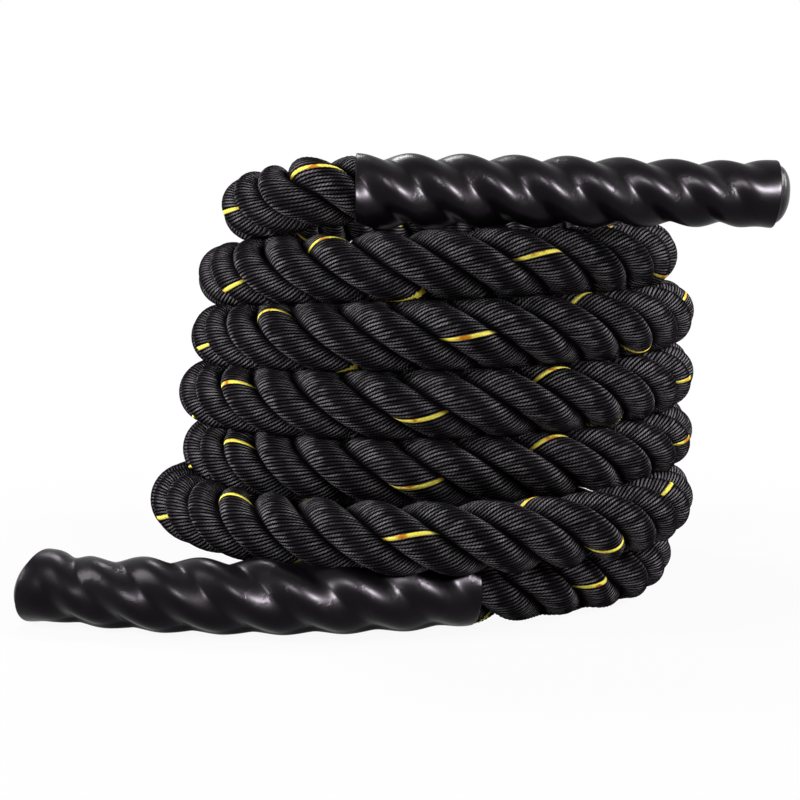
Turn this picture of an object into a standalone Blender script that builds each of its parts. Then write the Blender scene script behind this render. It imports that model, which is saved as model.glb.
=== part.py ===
"""Heavy exercise rope, coiled for storage, with a shrunk grip sleeve on each end.

Metres, +Z up. The coil stands on the floor at z = 0, and the origin is below the middle
of the whole object. The rope is wound as one right-handed coil that climbs one rope
diameter per turn. Its lower tail runs into a grip that lies on the floor under the coil's
front, and its upper tail curls round into a grip that lies on top of the coil. Inside
each grip the rope's three strands run on, bound together at their cut ends.
"""

import math

import bmesh
import bpy
import numpy as np
from mathutils import Matrix, Vector
from mathutils.geometry import interpolate_bezier

# Rope
ROPE_DIAMETER = 0.038
STRAND_COUNT = 3
STRAND_GAP = 0.0006

# Coil: the middle of the rope lies on this radius, and each turn lies on the one below
COIL_RADIUS = 0.147
TURN_GAP = 0.0004
POINTS_PER_TURN = 24
COIL_SIDES = 6
COIL_START_TURN = -40 / 360
COIL_END_TURN = 5.47

# The rope's underside is pressed flat on the floor by this share of its diameter
FLAT_SHARE = 0.1

# Distance of the rope from the coil's axis at each quarter turn, from the right-hand
# side one quarter before the first full turn, as shares of the coil's radius
REACH_SHARES = (
    1.08, 0.895, 0.98, 1.13,
    1.275, 0.955, 1.00, 0.985,
    1.00, 0.995, 1.00, 1.00,
    1.00, 0.995, 0.995, 0.942,
    0.995, 0.995, 0.975, 0.912,
    0.96, 0.912, 0.90, 0.78,
    0.82,
)

# Height of the rope above the bottom turn at the same places, as shares of the pitch
RISE_SHARES = (
    0.0, 0.0, 0.0, 0.87,
    1.17, 1.00, 1.34, 1.69,
    1.84, 2.00, 2.35, 2.69,
    2.84, 3.00, 3.35, 3.67,
    3.83, 4.00, 4.35, 4.66,
    4.82, 4.96, 5.50, 5.72,
    5.72,
)

# Grip sleeve, shrunk over the strands, thinner at a waist and wider round its end cap
SLEEVE_WALL = 0.0012
SLEEVE_LOBE_HEIGHT = 0.0035
FIT_CLEARANCE = 0.0004
WAIST_REDUCTION = 0.0019
WAIST_START_SHARE = 0.60
WAIST_FULL_SHARE = 0.72
RIM_START_SHARE = 0.86
RIM_FULL_SHARE = 0.94
STATIONS_PER_LAY = 15
POINTS_PER_STRAND = 6

# Whipping round the cut ends of the strands, and the end cap beyond them
WHIPPING_WIDTH = 0.022
WHIPPING_THICKNESS = 0.0008
STRAND_END_GAP = 0.0004
CAP_PLUG_LENGTH = 0.012
CAP_DOME_HEIGHT = 0.0035
CAP_EDGE_RADIUS = 0.0015
CAP_POINTS = 36

# Grips: places of the sleeves' mouths from the coil's axis, as shares of its radius,
# the directions in which they point, how far they bow sideways, and their lengths. The
# strands' lay differs a little between them, as does a strand's angle at the mouth. The
# upper grip rests on the coil at a number of turns. Each swings about a pivot a little
# before its mouth.
CONTACT_GAP = 0.0003
UPPER_MOUTH_SHARES = (-0.327, -0.864)
UPPER_HEADING = math.radians(0.0)
UPPER_BOW = 0.0
UPPER_LENGTH = 0.243
UPPER_LAY_LENGTH = 0.088
UPPER_CREST_ANGLE = math.radians(90.0)
UPPER_REST_TURN = 4.817
LOWER_MOUTH_SHARES = (0.150, -1.078)
LOWER_HEADING = math.radians(178.1)
LOWER_BOW = 0.027
LOWER_LENGTH = 0.257
LOWER_LAY_LENGTH = 0.0985
LOWER_CREST_ANGLE = math.radians(30.0)
PIVOT_SETBACK = 0.030

# Tails between the coil and the grips: places from the coil's axis as shares of its
# radius, and the share of the climb from the coil's end to the grip's mouth
UPPER_TAIL_SHARES = ((-0.768, -0.156, -0.10), (-0.752, -0.476, 0.10), (-0.615, -0.730, 0.50))
LOWER_TAIL_SHARES = ((0.585, -0.800, 0.07), (0.385, -0.965, 0.52))
TAIL_POINTS = 4
TAIL_SIDES = 8

ROPE_RADIUS = ROPE_DIAMETER / 2
ROPE_FLOOR_HEIGHT = ROPE_RADIUS - FLAT_SHARE * ROPE_DIAMETER
TURN_PITCH = ROPE_DIAMETER + TURN_GAP
SLEEVE_CREST_RADIUS = ROPE_RADIUS + FIT_CLEARANCE + SLEEVE_WALL
FULL_TURN = 2 * math.pi

# The coil's axis stands so that the whole object is centred on the origin. The far end of
# the bowed lower grip stands askew, and reaches farther than its length by twice this.
ASKEW_REACH = 0.0025
AXIS_PLACE = COIL_RADIUS * Vector((
    -(UPPER_MOUTH_SHARES[0] + LOWER_MOUTH_SHARES[0]) / 2,
    (max(REACH_SHARES) - 1) / 2,
    0.0,
)) + Vector(((LOWER_LENGTH - UPPER_LENGTH) / 2 + ASKEW_REACH, 0.0, 0.0))


def clear_scene():
    """Remove every object that the file opens with."""
    for old in list(bpy.data.objects):
        bpy.data.objects.remove(old, do_unlink=True)


def make_material(name, colour, roughness, metallic=0.0):
    """Principled material of one colour."""
    material = bpy.data.materials.new(name)
    material.use_nodes = True
    shader = material.node_tree.nodes["Principled BSDF"]
    shader.inputs["Base Color"].default_value = (*colour, 1.0)
    shader.inputs["Roughness"].default_value = roughness
    shader.inputs["Metallic"].default_value = metallic
    return material


def smooth_step(share):
    """Ease from 0 to 1 as share goes from 0 to 1."""
    share = min(max(share, 0.0), 1.0)
    return share * share * (3 - 2 * share)


def slope_at(before, value, after):
    """Slope of a smooth curve at a table's entry: level beside an equal entry."""
    return 0.0 if value in (before, after) else (after - before) / 2


def through_table(table, place):
    """Smooth value at a place between the entries of an evenly spaced table."""
    last = len(table) - 1
    index = min(max(int(math.floor(place)), 0), last - 1)
    part = place - index
    start, end = table[index], table[index + 1]
    slope_in = slope_at(table[max(index - 1, 0)], start, end)
    slope_out = slope_at(start, end, table[min(index + 2, last)])
    square, cube = part * part, part * part * part
    return (
        (2 * cube - 3 * square + 1) * start
        + (cube - 2 * square + part) * slope_in
        + (3 * square - 2 * cube) * end
        + (cube - square) * slope_out
    )


def coil_point(turn):
    """Middle of the rope at a number of turns, counted from the bottom turn's right side."""
    quarter = 4 * turn + 1
    reach = COIL_RADIUS * through_table(REACH_SHARES, quarter)
    height = ROPE_FLOOR_HEIGHT + TURN_PITCH * through_table(RISE_SHARES, quarter)
    angle = FULL_TURN * turn
    return AXIS_PLACE + Vector((reach * math.cos(angle), reach * math.sin(angle), height))


def coil_direction(turn):
    """Direction in which the rope climbs at a number of turns."""
    step = 1 / (POINTS_PER_TURN * POINTS_PER_TURN)
    return (coil_point(turn + step) - coil_point(turn - step)).normalized()


def coil_route():
    """Points along the coil, whose two end stretches run straight for one diameter."""
    spacing = 1 / POINTS_PER_TURN
    count = round((COIL_END_TURN - COIL_START_TURN) / spacing)
    turns = [COIL_START_TURN + index * (COIL_END_TURN - COIL_START_TURN) / count for index in range(count + 1)]
    points = [coil_point(turn) for turn in turns]
    points[1] = points[0] + coil_direction(turns[0]) * ROPE_DIAMETER
    points[-2] = points[-1] - coil_direction(turns[-1]) * ROPE_DIAMETER
    return points


def smooth_route(points, start_direction, end_direction):
    """Points of a smooth curve through the route's points, with given end directions."""
    slopes = [start_direction.normalized() * (points[1] - points[0]).length]
    for index in range(1, len(points) - 1):
        slopes.append((points[index + 1] - points[index - 1]) / 2)
    slopes.append(end_direction.normalized() * (points[-1] - points[-2]).length)
    route = [points[0]]
    for start, end, slope_in, slope_out in zip(points, points[1:], slopes, slopes[1:]):
        knots = (start, start + slope_in / 3, end - slope_out / 3, end)
        route.extend(interpolate_bezier(*knots, TAIL_POINTS + 1)[1:])
    return route


def surface_points(points):
    """Rows of points on a coil's six-sided surface, one row for each route point and midpoint."""
    rows = []
    for start, end in zip(points, points[1:]):
        forward = (end - start).normalized()
        side = Vector((0, 0, 1)).cross(forward).normalized()
        up = forward.cross(side)
        corners = [
            ROPE_RADIUS * (side * math.cos(angle) + up * math.sin(angle))
            for angle in (FULL_TURN * index / COIL_SIDES for index in range(COIL_SIDES))
        ]
        halfway = [(one + other) / 2 for one, other in zip(corners, corners[1:] + corners[:1])]
        rows.extend([middle + offset for offset in corners + halfway] for middle in (start, (start + end) / 2))
    return np.array(rows)


def least_gap(points):
    """Least gap between a coil's turns, measured on points of its surface."""
    rows = surface_points(points)
    gap = math.inf
    for index in range(len(rows) - POINTS_PER_TURN):
        others = rows[index + POINTS_PER_TURN:].reshape(-1, 3)
        apart = others[None, :, :] - rows[index][:, None, :]
        gap = min(gap, float(np.sqrt((apart**2).sum(axis=2)).min()))
    return gap


def add_object(name, mesh, material, parent):
    """Object of one mesh, shaded smooth but for its sharp edges."""
    mesh.shade_smooth()
    mesh.set_sharp_from_angle(angle=math.radians(40))
    mesh.materials.clear()
    mesh.materials.append(material)
    made = bpy.data.objects.new(name, mesh)
    bpy.context.collection.objects.link(made)
    if parent:
        made.parent = parent
        made.matrix_parent_inverse = parent.matrix_world.inverted()
    return made


def add_pivot(name, grip):
    """Empty at a grip's pivot, which carries the grip's pieces."""
    pivot = bpy.data.objects.new(name, None)
    pivot.location = grip.mouth - grip.leave * PIVOT_SETBACK
    pivot.empty_display_size = ROPE_DIAMETER
    bpy.context.collection.objects.link(pivot)
    bpy.context.view_layer.update()
    return pivot


def rope_tube_mesh(name, points, sides):
    """Closed tube along points, as a mesh, cut flat where it would pass the floor."""
    curve = bpy.data.curves.new(name, "CURVE")
    curve.dimensions = "3D"
    curve.twist_mode = "Z_UP"
    curve.bevel_depth = ROPE_RADIUS
    curve.bevel_resolution = sides // 2 - 2
    curve.use_fill_caps = True
    spline = curve.splines.new("POLY")
    spline.points.add(len(points) - 1)
    for knot, point in zip(spline.points, points):
        knot.co = (*point, 1.0)
    guide = bpy.data.objects.new(name, curve)
    bpy.context.collection.objects.link(guide)
    shape = guide.evaluated_get(bpy.context.evaluated_depsgraph_get())
    mesh = bpy.data.meshes.new_from_object(shape)
    bpy.data.objects.remove(guide)
    body = bmesh.new()
    body.from_mesh(mesh)
    bmesh.ops.remove_doubles(body, verts=body.verts, dist=CONTACT_GAP / 10)
    if min(vert.co.z for vert in body.verts) < 0:
        everything = body.verts[:] + body.edges[:] + body.faces[:]
        cut = bmesh.ops.bisect_plane(
            body, geom=everything, plane_co=(0, 0, 0), plane_no=(0, 0, 1), clear_inner=True
        )
        rim = [edge for edge in cut["geom_cut"] if isinstance(edge, bmesh.types.BMEdge)]
        bmesh.ops.holes_fill(body, edges=rim)
    bmesh.ops.recalc_face_normals(body, faces=body.faces)
    body.to_mesh(mesh)
    body.free()
    return mesh


class GripAxis:
    """Middle line of a grip, from its mouth to its far end, bowed sideways in a shallow arc."""

    def __init__(self, mouth_shares, height, heading, bow, length, lay_length, crest_angle):
        self.length = length
        self.lay_length = lay_length
        self.crest_angle = crest_angle
        self.strands_end = length - CAP_PLUG_LENGTH - STRAND_END_GAP
        self.whipping_start = self.strands_end - WHIPPING_WIDTH
        self.mouth = AXIS_PLACE + COIL_RADIUS * Vector((*mouth_shares, 0)) + Vector((0, 0, height))
        self.forward = Vector((math.cos(heading), math.sin(heading), 0))
        self.side = Vector((0, 0, 1)).cross(self.forward)
        self.bow = bow
        self.leave = self.frame(0.0)[0] @ Vector((0, 0, 1))

    def frame(self, distance):
        """Place and axes of the section at a distance from the mouth."""
        share = distance / self.length
        offset = 4 * self.bow * share * (1 - share)
        lean = 4 * self.bow * (1 - 2 * share) / self.length
        forward = (self.forward + self.side * lean).normalized()
        side = Vector((0, 0, 1)).cross(forward).normalized()
        up = forward.cross(side)
        place = self.mouth + self.forward * distance + self.side * offset
        return Matrix((side, up, forward)).transposed().to_4x4(), place

    def strand_angle(self, distance):
        """Angle of the first strand's crest at a distance from the mouth."""
        return self.crest_angle + FULL_TURN * distance / self.lay_length

    def stations(self, start, end):
        """Distances of the sections between two places, the same ones for all the grip's pieces."""
        spacing = self.lay_length / STATIONS_PER_LAY
        count = math.floor(self.length / spacing)
        shared = [spacing * index for index in range(count + 1)]
        shared = sorted(shared + [self.whipping_start, self.strands_end, self.length])
        return [start] + [place for place in shared if start + CONTACT_GAP < place < end - CONTACT_GAP] + [end]


def crest_offset(share):
    """How far the sleeve is drawn in at a share of its length from the mouth."""
    drawn = smooth_step((share - WAIST_START_SHARE) / (WAIST_FULL_SHARE - WAIST_START_SHARE))
    let_out = smooth_step((share - RIM_START_SHARE) / (RIM_FULL_SHARE - RIM_START_SHARE))
    return WAIST_REDUCTION * drawn * (1 - let_out)


def lobe_height(share):
    """Height of the strands' lobes at a share of the grip's length: none round the end cap."""
    fade = smooth_step((share - RIM_START_SHARE) / (RIM_FULL_SHARE - RIM_START_SHARE))
    return SLEEVE_LOBE_HEIGHT * (1 - fade)


def lobed_radius(share, from_crest, inset):
    """Radius of the sleeve's surface at an angle from a strand's crest, less an inset."""
    crest = SLEEVE_CREST_RADIUS - crest_offset(share)
    dip = lobe_height(share) * (1 - math.cos(STRAND_COUNT * from_crest)) / 2
    return crest - dip - inset


def crest_angles():
    """Angles of a strand's outer points from its crest."""
    step = FULL_TURN / (STRAND_COUNT * POINTS_PER_STRAND)
    return [step * (index - (POINTS_PER_STRAND - 1) / 2) for index in range(POINTS_PER_STRAND)]


def section_ring(body, axis, distance, outline):
    """Vertices of one section. The outline is a list of radius and angle."""
    turn, place = axis.frame(distance)
    ring = []
    for radius, angle in outline:
        local = Vector((radius * math.cos(angle), radius * math.sin(angle), 0))
        ring.append(body.verts.new(place + turn @ local))
    return ring


def join_rings(body, near, far, outline, outward=True):
    """Triangles between two rings. Diagonals run against the twist, or out along a flank."""
    count = len(near)
    for index in range(count):
        follow = (index + 1) % count
        a, b, c, d = near[index], near[follow], far[follow], far[index]
        flank_out = outline[follow][0] - outline[index][0] > SLEEVE_LOBE_HEIGHT
        for triangle in ((a, b, c), (a, c, d)) if flank_out else ((a, b, d), (b, c, d)):
            body.faces.new(triangle if outward else triangle[::-1])


def close_ring(body, ring, middle, outward):
    """Fan of triangles that closes a section, round a point in its middle."""
    hub = body.verts.new(middle)
    for index, vert in enumerate(ring):
        follow = ring[(index + 1) % len(ring)]
        body.faces.new((hub, vert, follow) if outward else (hub, follow, vert))


def finish_mesh(name, body):
    """Mesh from a bmesh, with its faces pointing out."""
    bmesh.ops.recalc_face_normals(body, faces=body.faces)
    mesh = bpy.data.meshes.new(name)
    body.to_mesh(mesh)
    body.free()
    return mesh


def shell_mesh(name, axis, start, end, outer_inset, inner_inset):
    """Lobed shell between two insets from the sleeve's surface, open at both ends."""
    angles = [
        strand * FULL_TURN / STRAND_COUNT + angle for strand in range(STRAND_COUNT) for angle in crest_angles()
    ]
    body = bmesh.new()
    previous = None
    first = None
    for distance in axis.stations(start, end):
        turned = axis.strand_angle(distance)
        share = distance / axis.length
        outer = [(lobed_radius(share, angle, outer_inset), angle + turned) for angle in angles]
        inner = [(lobed_radius(share, angle, inner_inset), angle + turned) for angle in angles]
        rings = (section_ring(body, axis, distance, outer), section_ring(body, axis, distance, inner))
        if previous:
            join_rings(body, previous[0], rings[0], outer)
            join_rings(body, previous[1], rings[1], inner, outward=False)
        first = first or rings
        previous = rings
    for rings in (first, previous):
        for index in range(len(angles)):
            follow = (index + 1) % len(angles)
            body.faces.new((rings[0][index], rings[0][follow], rings[1][follow], rings[1][index]))
    return finish_mesh(name, body)


def strand_outline(axis, distance, strand, inset):
    """Section of one strand: round outside, with flanks that lie beside its neighbours."""
    centre = strand * FULL_TURN / STRAND_COUNT + axis.strand_angle(distance)
    half_share = math.pi / STRAND_COUNT
    apex = STRAND_GAP / 2 / math.sin(half_share)
    outline = [(lobed_radius(distance / axis.length, angle, inset), centre + angle) for angle in crest_angles()]
    flank = ROPE_RADIUS / 2
    lean = half_share - math.asin(STRAND_GAP / 2 / flank)
    return outline + [(flank, centre + lean), (apex, centre), (flank, centre - lean)]


def strand_inset(axis, distance):
    """How far a strand lies inside the sleeve's surface: more under the whipping."""
    plain = SLEEVE_WALL + FIT_CLEARANCE
    bound = plain + WHIPPING_THICKNESS + FIT_CLEARANCE
    ease = smooth_step((distance - axis.whipping_start + ROPE_RADIUS) / (ROPE_RADIUS - CONTACT_GAP))
    return plain + (bound - plain) * ease


def strand_mesh(name, axis, strand):
    """One strand of the rope inside the sleeve, from the mouth to its cut end."""
    body = bmesh.new()
    previous = None
    places = axis.stations(0.0, axis.strands_end)
    for distance in places:
        outline = strand_outline(axis, distance, strand, strand_inset(axis, distance))
        ring = section_ring(body, axis, distance, outline)
        if previous:
            join_rings(body, previous, ring, outline)
        middle = sum((vert.co for vert in ring), Vector()) / len(ring)
        if distance in (places[0], places[-1]):
            close_ring(body, ring, middle, outward=distance == places[-1])
        previous = ring
    return finish_mesh(name, body)


def cap_mesh(name, axis):
    """Domed end cap: a plug in the sleeve's end with a rounded edge and a shallow dome."""
    bore_share = math.cos(math.pi / STATIONS_PER_LAY)
    plug_radius = (SLEEVE_CREST_RADIUS - SLEEVE_WALL) * bore_share - FIT_CLEARANCE
    end = axis.length
    start = end - CAP_PLUG_LENGTH
    dome_rings = 4
    profile = [(start, plug_radius - CAP_EDGE_RADIUS), (start + CAP_EDGE_RADIUS, plug_radius), (end, plug_radius)]
    for index in range(1, dome_rings):
        slope = index / dome_rings * math.pi / 2
        profile.append((end + CAP_DOME_HEIGHT * math.sin(slope), plug_radius * math.cos(slope)))
    body = bmesh.new()
    rings = []
    for distance, radius in profile:
        outline = [(radius, FULL_TURN * index / CAP_POINTS) for index in range(CAP_POINTS)]
        rings.append(section_ring(body, axis, distance, outline))
    for near, far in zip(rings, rings[1:]):
        for index in range(CAP_POINTS):
            follow = (index + 1) % CAP_POINTS
            body.faces.new((near[index], near[follow], far[follow], far[index]))
    close_ring(body, rings[0], axis.frame(start)[1], outward=False)
    close_ring(body, rings[-1], axis.frame(end + CAP_DOME_HEIGHT)[1], outward=True)
    return finish_mesh(name, body)


def make_grip(side, axis, pivot, materials):
    """Sleeve, strand ends, whipping and end cap of one grip, carried by its pivot."""
    sleeve = shell_mesh(f"grip_sleeve_{side}", axis, 0.0, axis.length, 0.0, SLEEVE_WALL)
    add_object(f"grip_sleeve_{side}", sleeve, materials["sleeve"], pivot)
    for strand in range(STRAND_COUNT):
        name = f"strand_{strand + 1}_end_{side}"
        add_object(name, strand_mesh(name, axis, strand), materials["rope"], pivot)
    name = f"end_whipping_{side}"
    inset = SLEEVE_WALL + FIT_CLEARANCE
    band = shell_mesh(name, axis, axis.whipping_start, axis.strands_end, inset, inset + WHIPPING_THICKNESS)
    add_object(name, band, materials["whipping"], pivot)
    add_object(f"end_cap_{side}", cap_mesh(f"end_cap_{side}", axis), materials["cap"], pivot)


def tail_route(start, leave, shares, grip):
    """Points of a tail from an end of the coil to a grip's mouth, with straight square ends."""
    near = [start + leave * CONTACT_GAP, start + leave * ROPE_RADIUS]
    far = [grip.mouth - grip.leave * ROPE_RADIUS, grip.mouth - grip.leave * CONTACT_GAP]
    knots = []
    for along, across, climb in shares:
        height = start.z + climb * (grip.mouth.z - start.z)
        knots.append(AXIS_PLACE + Vector((along * COIL_RADIUS, across * COIL_RADIUS, height)))
    return [near[0]] + smooth_route([near[1]] + knots + [far[0]], leave, grip.leave) + [far[1]]


def route_length(points):
    """Length of a route."""
    return sum((end - start).length for start, end in zip(points, points[1:]))


def make_rope(upper, lower, material):
    """Coil of the rope and its two tails, which end at the mouths of the sleeves."""
    coil = coil_route()
    add_object("rope_coil", rope_tube_mesh("rope_coil", coil, COIL_SIDES), material, None)
    print(f"least gap between the coil's turns: {least_gap(coil) * 1000:.2f} mm")
    length = route_length(coil) + upper.length + lower.length
    ends = (
        ("upper", coil[-1], (coil[-1] - coil[-2]).normalized(), UPPER_TAIL_SHARES, upper),
        ("lower", coil[0], (coil[0] - coil[1]).normalized(), LOWER_TAIL_SHARES, lower),
    )
    for side, start, leave, shares, grip in ends:
        name = f"rope_tail_{side}"
        route = tail_route(start, leave, shares, grip)
        add_object(name, rope_tube_mesh(name, route, TAIL_SIDES), material, None)
        length += route_length(route)
    print(f"length of the rope with its grips: {length:.2f} m")


def main():
    """Build the rope, its two grips and their materials."""
    clear_scene()
    materials = {
        "rope": make_material("rope_fibre", (0.030, 0.027, 0.029), 0.75),
        "sleeve": make_material("shrunk_sleeve", (0.012, 0.011, 0.013), 0.32),
        "whipping": make_material("whipping_tape", (0.020, 0.020, 0.022), 0.60),
        "cap": make_material("moulded_cap", (0.014, 0.013, 0.015), 0.28),
    }
    upper_height = coil_point(UPPER_REST_TURN).z + ROPE_RADIUS + SLEEVE_CREST_RADIUS + CONTACT_GAP
    upper = GripAxis(
        UPPER_MOUTH_SHARES, upper_height, UPPER_HEADING, UPPER_BOW, UPPER_LENGTH, UPPER_LAY_LENGTH, UPPER_CREST_ANGLE
    )
    lower = GripAxis(
        LOWER_MOUTH_SHARES, SLEEVE_CREST_RADIUS, LOWER_HEADING, LOWER_BOW,
        LOWER_LENGTH, LOWER_LAY_LENGTH, LOWER_CREST_ANGLE,
    )
    make_rope(upper, lower, materials["rope"])
    make_grip("upper", upper, add_pivot("upper_pivot", upper), materials)
    make_grip("lower", lower, add_pivot("lower_pivot", lower), materials)


main()
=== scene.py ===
"""Dressed model of a coiled, heavy exercise rope with a shrunk grip sleeve on each end.

Metres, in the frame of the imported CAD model. The rope is one laid surface of three
strands that follows one middle line, from the lower grip, up the coil, to the upper grip.
"""

import logging
import math
from collections.abc import Mapping
from dataclasses import dataclass, field
from enum import Enum

import bpy
import numpy as np
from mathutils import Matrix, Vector


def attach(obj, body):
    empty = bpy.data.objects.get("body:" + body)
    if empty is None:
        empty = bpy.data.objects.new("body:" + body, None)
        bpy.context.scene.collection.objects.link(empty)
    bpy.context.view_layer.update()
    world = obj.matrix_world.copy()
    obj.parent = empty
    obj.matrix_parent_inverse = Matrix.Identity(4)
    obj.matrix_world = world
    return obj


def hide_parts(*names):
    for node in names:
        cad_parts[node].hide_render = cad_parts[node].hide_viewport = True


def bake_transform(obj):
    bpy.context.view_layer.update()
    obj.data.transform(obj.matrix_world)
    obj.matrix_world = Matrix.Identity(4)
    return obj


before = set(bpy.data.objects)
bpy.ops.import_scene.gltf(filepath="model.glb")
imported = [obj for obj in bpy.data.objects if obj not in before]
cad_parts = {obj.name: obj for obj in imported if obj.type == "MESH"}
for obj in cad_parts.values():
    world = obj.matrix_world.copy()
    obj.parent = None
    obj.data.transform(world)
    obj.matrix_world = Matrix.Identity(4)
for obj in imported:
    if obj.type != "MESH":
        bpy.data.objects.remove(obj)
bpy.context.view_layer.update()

LOG = logging.getLogger("rope")
FULL_TURN = 2 * math.pi
MILLIMETRE = 0.001
STRANDS = 3
ROPE_DIAMETER = 0.038

Colour = tuple[float, float, float]
Place = tuple[float, float, float]

# The coil: its radius, its place, and tables of its reach and height for each quarter turn.
# They are the CAD model's, except where the turns above press the soft rope down or aside.
COIL_RADIUS = 0.147
COIL_START_TURN = -40 / 360
COIL_END_TURN = 5.47
COIL_AXIS = np.array([0.0225095, 0.0202125, 0.0])
REACH_SHARES = (
    1.08, 0.895, 0.98, 1.10,
    1.275, 0.955, 1.00, 0.985,
    1.00, 0.995, 1.00, 1.00,
    1.00, 0.995, 0.995, 0.942,
    0.995, 0.995, 0.975, 0.912,
    0.96, 0.912, 0.90, 0.78,
    0.82,
)
HEIGHTS = tuple(
    height * MILLIMETRE
    for height in (
        19.3, 19.3, 19.3, 50.5,
        53.8, 56.5, 66.5, 81.0,
        84.7, 93.2, 105.5, 118.0,
        122.5, 131.6, 143.5, 153.5,
        161.0, 170.0, 182.0, 191.8,
        199.8, 207.5, 226.4, 234.5,
        234.5,
    )
)


class Slot(Enum):
    """Material slots of the pieces."""

    ROPE = "rope_fibre"
    TAPE = "whipping_tape"
    SLEEVE = "shrunk_sleeve"
    CAP = "moulded_cap"


class Side(Enum):
    """The two ends of the rope."""

    UPPER = "upper"
    LOWER = "lower"


# Shader building


class Value:
    """A number socket of a node tree, on which Python's operators add Math nodes."""

    def __init__(self, board: "Board", socket: bpy.types.NodeSocket) -> None:
        """Wrap a socket of a board's tree."""
        self.board = board
        self.socket = socket

    def _math(self, operation: str, *others: "Value | float") -> "Value":
        """Add one Math node.

        Args:
            operation: The node's operation.
            others: Its operands.

        Returns:
            The node's result.
        """
        made = self.board.node("ShaderNodeMath", {"operation": operation}, dict(enumerate(others)))
        return Value(self.board, made.outputs[0])

    def __add__(self, other: "Value | float") -> "Value":
        """Sum."""
        return self._math("ADD", self, other)

    def __radd__(self, other: float) -> "Value":
        """Sum, reflected."""
        return self._math("ADD", other, self)

    def __sub__(self, other: "Value | float") -> "Value":
        """Difference."""
        return self._math("SUBTRACT", self, other)

    def __rsub__(self, other: float) -> "Value":
        """Difference, reflected."""
        return self._math("SUBTRACT", other, self)

    def __mul__(self, other: "Value | float") -> "Value":
        """Product."""
        return self._math("MULTIPLY", self, other)

    def __rmul__(self, other: float) -> "Value":
        """Product, reflected."""
        return self._math("MULTIPLY", other, self)

    def __truediv__(self, other: "Value | float") -> "Value":
        """Quotient."""
        return self._math("DIVIDE", self, other)

    def fraction(self) -> "Value":
        """Part after the decimal point."""
        return self._math("FRACT", self)

    def floor(self) -> "Value":
        """Whole part."""
        return self._math("FLOOR", self)

    def absolute(self) -> "Value":
        """Size without sign."""
        return self._math("ABSOLUTE", self)

    def ramp(self, low: float, high: float) -> "Value":
        """Smooth rise from 0 to 1 as the value goes from low to high.

        Args:
            low: Where the rise starts; it may lie above high, for a fall.
            high: Where the rise ends.

        Returns:
            The share of the rise.
        """
        made = self.board.node(
            "ShaderNodeMapRange",
            {"interpolation_type": "SMOOTHSTEP"},
            {"Value": self, "From Min": low, "From Max": high},
        )
        return Value(self.board, made.outputs[0])

    def ridge(self) -> "Value":
        """Round ridge over each whole step of the value: 1 at its middle, 0 at its edges."""
        centred = self.fraction() - 0.5
        return 1 - centred * centred * 4


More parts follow.
